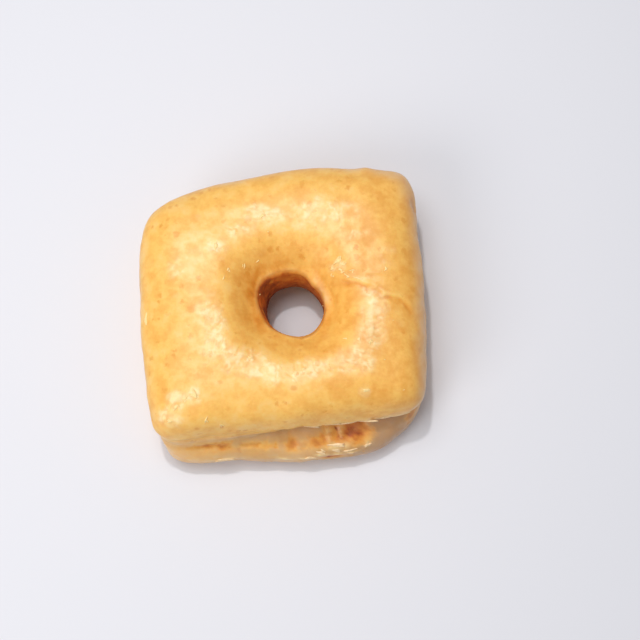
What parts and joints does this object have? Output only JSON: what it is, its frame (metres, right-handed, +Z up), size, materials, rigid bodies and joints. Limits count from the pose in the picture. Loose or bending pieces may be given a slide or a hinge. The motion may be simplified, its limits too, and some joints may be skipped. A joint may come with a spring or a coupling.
{
  "type": "square glazed doughnut",
  "caption": "Square yeast doughnut with a round hole: an upper dome over a wider, slumped lower dome, with a crease between.",
  "frame": {"origin": "centre of the bounding box seen from above, on the surface that the doughnut rests on", "axes": "+Z up through the hole, -Y towards the near side, where the lower dome stands out under the lip, +X to the right"},
  "size_m": [0.0946, 0.0956, 0.0335],
  "materials": {
    "glazed_crust": "golden fried crust under a thin clear sugar glaze"
  },
  "bodies": {
    "root": {"doughnut": "glazed_crust"}
  },
  "joints": []
}
